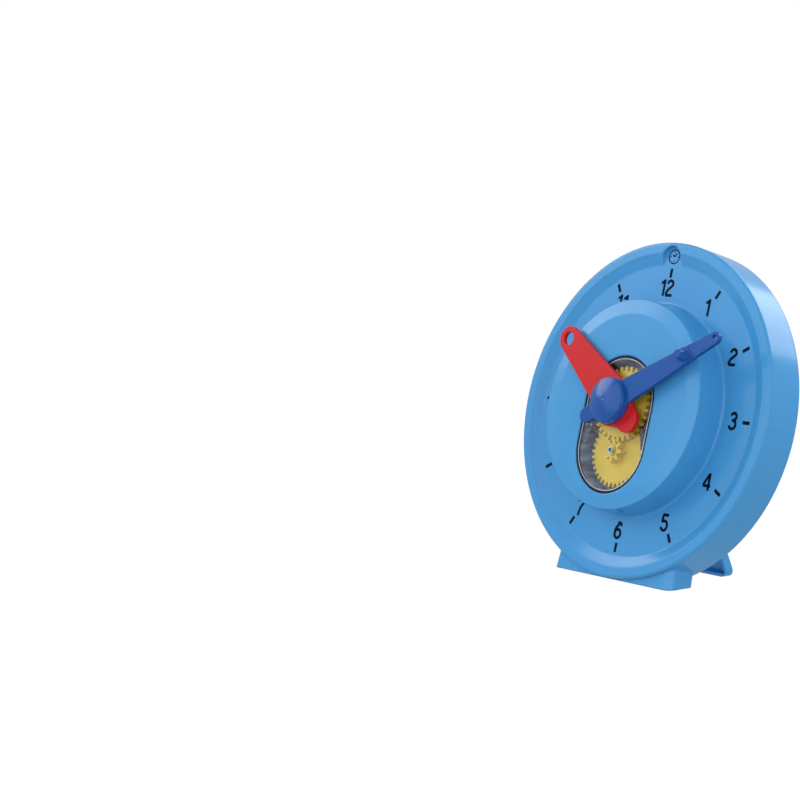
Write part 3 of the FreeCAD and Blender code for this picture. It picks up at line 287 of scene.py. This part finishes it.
def linePath(path, width, bottom, top):
    # a line of ink, of painted shade or highlight, or a thin sheet: each point of the path pushed half the
    # width to both sides, as a thin closed bar
    path = np.asarray(path, float)
    closed = np.allclose(path[0], path[-1])
    if closed:
        path = path[:-1]
        along = np.roll(path, -1, axis=0) - np.roll(path, 1, axis=0)
    else:
        along = np.gradient(path, axis=0)
    along /= np.linalg.norm(along, axis=1, keepdims=True)
    side = np.stack([-along[:, 1], along[:, 0]], axis=1) * width / 2
    count = len(path)
    rings = np.zeros((count, 4, 3))
    rings[:, (0, 3), :2] = (path + side)[:, None]
    rings[:, (1, 2), :2] = (path - side)[:, None]
    rings[:, :2, 2] = top
    rings[:, 2:, 2] = bottom
    first = np.arange(count if closed else count - 1)
    second = (first + 1) % count
    corner = np.arange(4)
    following = (corner + 1) % 4
    faces = np.stack([
        (first[:, None] * 4 + corner), (first[:, None] * 4 + following),
        (second[:, None] * 4 + following), (second[:, None] * 4 + corner)], axis=-1).reshape(-1, 4)
    if not closed:
        last = count * 4
        faces = np.concatenate([faces, [[3, 2, 1, 0], [last - 4, last - 3, last - 2, last - 1]]])
    return rings.reshape(-1, 3), faces


def joinParts(parts):
    # several point and face lists as one
    points, faces, offset = [], [], 0
    for somePoints, someFaces in parts:
        points.append(somePoints)
        faces.append(someFaces + offset)
        offset += len(somePoints)
    return np.concatenate(points), np.concatenate(faces)


def arc(centreX, centreY, radiusX, radiusY, start, stop, count=25):
    # points on an ellipse between two angles in degrees
    angle = np.radians(np.linspace(start, stop, count))
    return np.stack([centreX + radiusX * np.cos(angle), centreY + radiusY * np.sin(angle)], axis=1)


def straight(*points):
    return np.array(points, float)


# each digit as its width and its centre lines, in a box one high with its foot at 0
digitLines = {
    "0": (0.50, [arc(0.25, 0.5, 0.185, 0.44, 90, 450, 41)]),
    "1": (0.34, [straight((0.27, 0), (0.27, 1.0)), arc(0.03, 1.0, 0.23, 0.21, 270, 355, 9)]),
    "2": (0.52, [np.concatenate([arc(0.255, 0.715, 0.19, 0.225, 175, -12),
                                 arc(0.70, 0.06, 0.66, 0.58, 128, 178, 13)]),
                 straight((0.02, 0.06), (0.48, 0.06))]),
    "3": (0.52, [np.concatenate([arc(0.245, 0.735, 0.175, 0.205, 165, -80),
                                 arc(0.235, 0.285, 0.205, 0.245, 80, -165)]),
                 straight((0.16, 0.53), (0.27, 0.53))]),
    "4": (0.54, [straight((0.39, 0), (0.39, 1.0)), straight((0.37, 0.97), (0.035, 0.30)),
                 straight((0.01, 0.27), (0.52, 0.27))]),
    "5": (0.52, [straight((0.10, 0.94), (0.46, 0.94)), straight((0.115, 0.97), (0.075, 0.50)),
                 arc(0.245, 0.32, 0.205, 0.275, 140, -160)]),
    "6": (0.52, [arc(0.255, 0.30, 0.20, 0.25, 90, 450, 37),
                 np.concatenate([arc(0.27, 0.715, 0.19, 0.235, 10, 110, 13),
                                 arc(0.55, 0.40, 0.495, 0.52, 125, 185, 17)])]),
    "7": (0.50, [straight((0.02, 0.94), (0.47, 0.94)), arc(0.98, -0.02, 0.80, 1.06, 122, 180, 15)]),
    "8": (0.52, [arc(0.25, 0.735, 0.165, 0.21, 90, 450, 33), arc(0.25, 0.28, 0.20, 0.235, 90, 450, 37)]),
    "9": (0.52, [arc(0.255, 0.70, 0.20, 0.25, 90, 450, 37),
                 np.concatenate([arc(0.24, 0.285, 0.19, 0.235, 190, 290, 13),
                                 arc(-0.04, 0.60, 0.495, 0.52, -55, 5, 17)])]),
}
# numeralWidth widens the digits; inkBottom and inkTop are heights over the dial's face
printLook = {"tickInner": 55.5, "tickOuter": 59.3, "tickWidth": 1.4, "numeralHeight": 7.0,
             "numeralWidth": 1.16, "lineWidth": 1.24, "digitGap": 0.7, "inkBottom": -0.02, "inkTop": 0.035}
# the middle of each numeral on the dial
numeralPlaces = {
    "12": (-0.8, 51.2), "1": (24.2, 44.2), "2": (43.6, 25.3), "3": (50.5, 0.2), "4": (43.2, -25.0),
    "5": (24.7, -43.8), "6": (-0.5, -50.3), "7": (-25.3, -43.8), "8": (-43.4, -25.0), "9": (-50.5, 0.2),
    "10": (-43.6, 25.3), "11": (-25.2, 43.5)}


def dialLine(path, width):
    return linePath(path, width, printLook["inkBottom"], printLook["inkTop"])


def makeDialPrint():
    # a tick at each hour, and each numeral's digits side by side about its middle
    parts = []
    for hour in range(12):
        angle = math.radians(30 * hour)
        outward = np.array([math.sin(angle), math.cos(angle)])
        tick = np.stack([outward * printLook["tickInner"], outward * printLook["tickOuter"]])
        parts.append(dialLine(tick, printLook["tickWidth"]))
    height = printLook["numeralHeight"]
    for text, (centreX, centreY) in numeralPlaces.items():
        widths = [digitLines[digit][0] * height * printLook["numeralWidth"] for digit in text]
        total = sum(widths) + printLook["digitGap"] * (len(text) - 1)
        left = centreX - total / 2
        for digit, width in zip(text, widths):
            for line in digitLines[digit][1]:
                scaled = line * (height * printLook["numeralWidth"], height) + (left, centreY - height / 2)
                parts.append(dialLine(scaled, printLook["lineWidth"]))
            left += width + printLook["digitGap"]
    points, faces = joinParts(parts)
    makePiece("dialPrint", onDial(points), faces, "clock", dialInk)


# the small clock in the recess at 12; each of its hands has an angle in degrees and a reach
notchLook = {"centre": (0.0, 64.3), "radius": 2.9, "sides": 48, "lineWidth": 0.5, "tickInner": 1.75,
             "tickOuter": 2.4, "tickWidth": 0.45, "handWidth": 0.6, "hands": ((-50, 1.3), (40, 1.85))}


def makeNotchClock():
    # a small round dial with four ticks and two hands
    centre = np.array(notchLook["centre"])
    angle = np.linspace(0, 2 * math.pi, notchLook["sides"] + 1)
    ring = centre + notchLook["radius"] * np.stack([np.sin(angle), np.cos(angle)], axis=1)
    parts = [dialLine(ring, notchLook["lineWidth"])]
    for turn in range(4):
        outward = np.array([math.sin(turn * math.pi / 2), math.cos(turn * math.pi / 2)])
        tick = centre + np.stack([outward * notchLook["tickInner"], outward * notchLook["tickOuter"]])
        parts.append(dialLine(tick, notchLook["tickWidth"]))
    for angleOfHand, reach in notchLook["hands"]:
        turned = math.radians(angleOfHand)
        tip = centre + reach * np.array([math.sin(turned), math.cos(turned)])
        parts.append(dialLine(np.stack([centre, tip]), notchLook["handWidth"]))
    points, faces = joinParts(parts)
    makePiece("notchClock", onDial(points), faces, "clock", dialInk)


makeDialPrint()
makeNotchClock()
print("dial printed")


def dialReach(nodeName):
    # how far out of the dial a piece of the frame reaches, in millimetres
    mesh = nodes[nodeName].data
    points = np.empty(len(mesh.vertices) * 3)
    mesh.vertices.foreach_get("co", points)
    return float(((points.reshape(-1, 3) * 1000.0 - dialCentre) @ dialOut).max())


# the window and the gear case behind it: each painted shade or highlight line is sunk into its face and
# stands a little proud of it
caseLook = {"windowDrop": 17.5, "paintedLineSunk": 0.02,
            "sealRadius": 19.2, "sealWidth": 0.85, "sealProud": 0.05,
            "glintRadius": 18.5, "glintWidth": 0.24, "glintProud": 0.06,
            "sheetRadius": 18.35, "sheetThickness": 0.3, "sheetBack": 6.15, "sheetFront": 12.7,
            "wheelRadii": (17.0, 16.2), "wheelDrop": 19.2,
            "cuspBack": 6.6, "cuspFront": 12.55, "cuspStart": 6, "cuspPoints": 13,
            "cuspEndAbove": 1.9, "cuspEndBelow": 1.8,
            "axleHole": 0.9, "axleRing": 1.45, "axleSides": 32, "axleRingProud": 0.04, "axleBoreProud": 0.02}


def beltPath(radius, drop, count=49):
    # two half circles joined by straight sides: the upper one about 0, the lower one about -drop
    upper = arc(0, 0, radius, radius, 0, 180, count)
    lower = arc(0, -drop, radius, radius, 180, 360, count)
    return np.concatenate([upper, lower, upper[:1]])


def makePaneEdgeLight():
    # a painted shade line round the pane's edge where the clear edge looks dark, and a fine painted highlight
    # inside it where the edge catches the light
    front = dialReach("gear_case_front")
    for name, lineKind, material in (("paneEdgeShade", "seal", edgeShadeBlack), ("paneGlint", "glint", edgeGlint)):
        belt = beltPath(caseLook[lineKind + "Radius"], caseLook["windowDrop"])
        points, faces = linePath(belt, caseLook[lineKind + "Width"], front - caseLook["paintedLineSunk"],
                                front + caseLook[lineKind + "Proud"])
        makePiece(name, onDial(points), faces, "clock", material)


def makeStreakSheet():
    # a thin sheet that follows the case's inside from its back to its front, carrying painted streaks of
    # reflection and shade
    belt = beltPath(caseLook["sheetRadius"], caseLook["windowDrop"])
    points, faces = linePath(belt, caseLook["sheetThickness"], caseLook["sheetBack"], caseLook["sheetFront"])
    makePiece("caseStreakSheet", onDial(points), faces, "clock", caseWallPaintedStreaks)


def signedArea(outline):
    # above 0 where a closed outline runs anticlockwise
    after = np.roll(outline, -1, axis=0)
    return float((outline[:, 0] * after[:, 1] - outline[:, 1] * after[:, 0]).sum() / 2)


def makeCaseCusps():
    # where the round rooms of the two wheels meet, the wall runs in to a point on each side:
    # one arc about the upper wheel, one about the lower, closed along the case's wall
    above, below = caseLook["wheelRadii"]
    drop, start, pointCount = caseLook["wheelDrop"], caseLook["cuspStart"], caseLook["cuspPoints"]
    wall = caseLook["sheetRadius"] - caseLook["sheetThickness"]
    meet = (drop ** 2 + above ** 2 - below ** 2) / (2 * drop)
    tip = math.degrees(math.asin(meet / above))
    lowTip = math.degrees(math.asin((drop - meet) / below))
    outline = np.concatenate([
        arc(0, 0, above, above, -start, -tip, pointCount),
        arc(0, -drop, below, below, lowTip, start, pointCount)[1:],
        [[wall, -drop + caseLook["cuspEndBelow"]], [wall, -caseLook["cuspEndAbove"]]]])
    heights = (caseLook["cuspBack"], caseLook["cuspFront"])
    count = len(outline)
    corner = np.arange(count)
    following = (corner + 1) % count
    for side, name in ((-1, "caseCuspLeft"), (1, "caseCuspRight")):
        sided = outline * (side, 1)
        ends = [np.column_stack([sided, np.full(count, height)]) for height in heights]
        middles = [[*sided.mean(axis=0), height] for height in heights]
        points = np.concatenate([*ends, middles])
        back, front = 2 * count, 2 * count + 1
        faces = np.concatenate([
            np.stack([corner, following, following + count], axis=1),
            np.stack([corner, following + count, corner + count], axis=1),
            np.stack([following, corner, np.full(count, back)], axis=1),
            np.stack([corner + count, following + count, np.full(count, front)], axis=1)])
        if signedArea(sided) < 0:
            faces = faces[:, ::-1]
        makePiece(name, onDial(points), faces, "clock", clearPane)


def makeAxleEnd():
    # a painted highlight ring at the axle's end, round a dark blue disc of painted shade over its bore
    front = dialReach("compound_axle")
    hole, ring, sides = caseLook["axleHole"], caseLook["axleRing"], caseLook["axleSides"]
    middle = (hole + ring) / 2
    circle = arc(0, -caseLook["wheelDrop"], middle, middle, 0, 360, sides + 1)
    points, faces = linePath(circle, ring - hole, front - caseLook["paintedLineSunk"],
                            front + caseLook["axleRingProud"])
    makePiece("axleRing", onDial(points), faces, "clock", edgeGlint)
    rim = arc(0, -caseLook["wheelDrop"], hole, hole, 0, 360, sides + 1)[:-1]
    rim = np.column_stack([rim, np.full(sides, front + caseLook["axleBoreProud"])])
    makePiece("axleBoreShade", onDial(rim), [list(range(sides))], "clock", boreShadeBlue)


makePaneEdgeLight()
makeStreakSheet()
makeCaseCusps()
makeAxleEnd()
print("gear case trimmed")

# the floor is a wide pale table under an even white sky; both light the clock less than they show (in metres)
stageLook = {"tableRadius": 1.6, "tableSides": 64, "paperColour": (0.02, 0.02, 0.02), "shownStrength": 1.0,
             "paperLight": 0.6, "skyLight": 0.62, "lampDistance": 2.0, "lampAim": (0, 0, 0.07)}


def stageGlow(tree, socket, light):
    # one strength for what lights the clock and another for what shows round it
    rays = addNode(tree, "ShaderNodeLightPath")
    glow = addNode(tree, "ShaderNodeMapRange")
    glow.inputs["To Min"].default_value = light
    glow.inputs["To Max"].default_value = stageLook["shownStrength"]
    link(tree, rays.outputs["Is Camera Ray"], glow.inputs["Value"])
    link(tree, glow.outputs["Result"], socket)


def stagePaper():
    # white paper that glows evenly, so it takes no shadow
    paper, tree, shader = newMaterial("whitePaper")
    shader.inputs["Base Color"].default_value = (*stageLook["paperColour"], 1)
    shader.inputs["Roughness"].default_value = 1.0
    shader.inputs["Specular IOR Level"].default_value = 0.0
    shader.inputs["Emission Color"].default_value = (1, 1, 1, 1)
    stageGlow(tree, shader.inputs["Emission Strength"], stageLook["paperLight"])
    return paper


def layTable():
    # a round sheet at the height of the clock's feet
    around = np.linspace(0, 2 * math.pi, stageLook["tableSides"] + 1)[:-1]
    corners = np.stack([np.cos(around), np.sin(around), np.zeros(len(around))], axis=1)
    corners *= stageLook["tableRadius"]
    mesh = bpy.data.meshes.new("table")
    mesh.from_pydata(corners.tolist(), [], [tuple(range(len(corners)))])
    mesh.materials.append(stagePaper())
    table = bpy.data.objects.new("table", mesh)
    bpy.context.scene.collection.objects.link(table)


layTable()

world = bpy.data.worlds.new("studio")
world.use_nodes = True
sky = world.node_tree.nodes["Background"]
sky.inputs["Color"].default_value = (1, 1, 1, 1)
stageGlow(world.node_tree, sky.inputs["Strength"], stageLook["skyLight"])
bpy.context.scene.world = world

# soft round lamps: the way to each from the clock, its width and its brightness
lampLook = {
    "topBackLamp": {"way": (0.10, 0.76, 0.64), "width": 1.8, "brightness": 3.5},
    "leftLamp": {"way": (-0.80, -0.36, 0.50), "width": 1.2, "brightness": 3.1},
    "edgeLamp": {"way": (0.39, -0.88, 0.26), "width": 1.0, "brightness": 1.7},
    "frontLamp": {"way": (-0.35, -0.86, 0.36), "width": 1.6, "brightness": 1.1},
    "rightLamp": {"way": (0.90, -0.34, 0.28), "width": 1.6, "brightness": 1.8}}


def addLamp(name, way, width, brightness):
    # power of a lamp that looks this bright: brightness * pi * area of the disc
    lamp = bpy.data.lights.new(name, "AREA")
    lamp.shape = "DISK"
    lamp.size = width
    lamp.energy = brightness * math.pi * math.pi * width ** 2 / 4
    lampObject = bpy.data.objects.new(name, lamp)
    direction = Vector(way).normalized()
    lampObject.location = direction * stageLook["lampDistance"] + Vector(stageLook["lampAim"])
    lampObject.rotation_euler = direction.to_track_quat("Z", "Y").to_euler()
    bpy.context.scene.collection.objects.link(lampObject)


for lampName, look in lampLook.items():
    addLamp(lampName, **look)

# the camera: its place from the dial's middle in millimetres, where it looks, and its lens in picture pixels
cameraLook = {"fromDial": (665.3, -639.1, 105.2), "forward": (-0.78699, 0.60707, -0.10958),
              "up": (-0.0868, 0.0673, 0.9940), "focalPixels": 2255.0, "pictureWidth": 800.0,
              "sensorWidth": 36.0, "clipNear": 0.01, "clipFar": 50.0}
camera = bpy.data.cameras.new("camera")
camera.sensor_width = cameraLook["sensorWidth"]
camera.lens = cameraLook["focalPixels"] * cameraLook["sensorWidth"] / cameraLook["pictureWidth"]
camera.clip_start, camera.clip_end = cameraLook["clipNear"], cameraLook["clipFar"]
cameraObject = bpy.data.objects.new("camera", camera)
back = -Vector(cameraLook["forward"]).normalized()
right = Vector(cameraLook["up"]).cross(back).normalized()
turned = Matrix((right, back.cross(right), back)).transposed().to_4x4()
cameraPlace = (dialCentre + cameraLook["fromDial"]) / 1000.0
cameraObject.matrix_world = Matrix.Translation(cameraPlace.tolist()) @ turned
bpy.context.scene.collection.objects.link(cameraObject)
bpy.context.scene.camera = cameraObject
bpy.context.scene.view_settings.view_transform = "Standard"
print("stage set")

bpy.context.view_layer.update()
